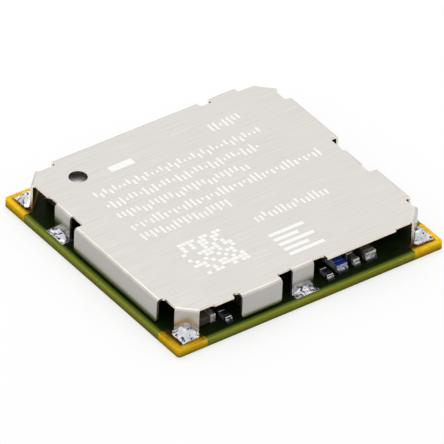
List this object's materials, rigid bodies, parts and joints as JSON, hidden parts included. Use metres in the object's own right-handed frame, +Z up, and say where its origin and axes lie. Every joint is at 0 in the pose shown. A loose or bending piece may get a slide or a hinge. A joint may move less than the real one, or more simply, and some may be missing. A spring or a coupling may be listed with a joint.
{
  "type": "shielded radio module",
  "caption": "Thin square radio module: a green land-grid circuit board under a folded sheet-metal shield with soldered legs, side flaps and an index hole.",
  "frame": {"origin": "middle of the plane that the solder lands rest on", "axes": "+Z up out of the shield's top, +X along the long side, the shield's open front edge towards -Y"},
  "size_m": [0.0126, 0.0116, 0.0015],
  "materials": {
    "solder_mask": "green solder mask over laminate, olive cut edges",
    "gold": "thin gold plating, satin",
    "shield_sheet": "fine brushed tinned sheet",
    "solder": "bright lumpy solder",
    "tin": "dull tinned ends and leads",
    "mould": "black moulding compound",
    "silicon": "bare ground silicon",
    "case_ceramic": "dark ceramic",
    "lid_metal": "pale plated lid",
    "capacitor_ceramic": "brown ceramic",
    "inductor_ceramic": "blue marked ceramic",
    "resistor_ceramic": "black glazed ceramic"
  },
  "bodies": {
    "root": {"board": "solder_mask", "corner_pads": "gold", "leg_pads": "solder", "edge_lands": "gold", "ground_lands": "gold", "shield": "shield_sheet", "corner_solder": "solder", "leg_solder": "solder", "transceiver_body": "mould", "transceiver_leads": "tin", "transceiver_paddle": "tin", "microcontroller_die": "silicon", "microcontroller_balls": "solder", "oscillator_case": "case_ceramic", "oscillator_lid": "lid_metal", "oscillator_terminals": "gold", "crystal_case": "case_ceramic", "crystal_lid": "lid_metal", "crystal_terminals": "gold", "switch_body": "mould", "switch_leads": "tin", "capacitor_bodies": "capacitor_ceramic", "capacitor_ends": "tin", "inductor_bodies": "inductor_ceramic", "inductor_ends": "tin", "resistor_bodies": "resistor_ceramic", "resistor_ends": "tin", "component_pads": "gold", "chip_solder": "solder"}
  },
  "joints": []
}
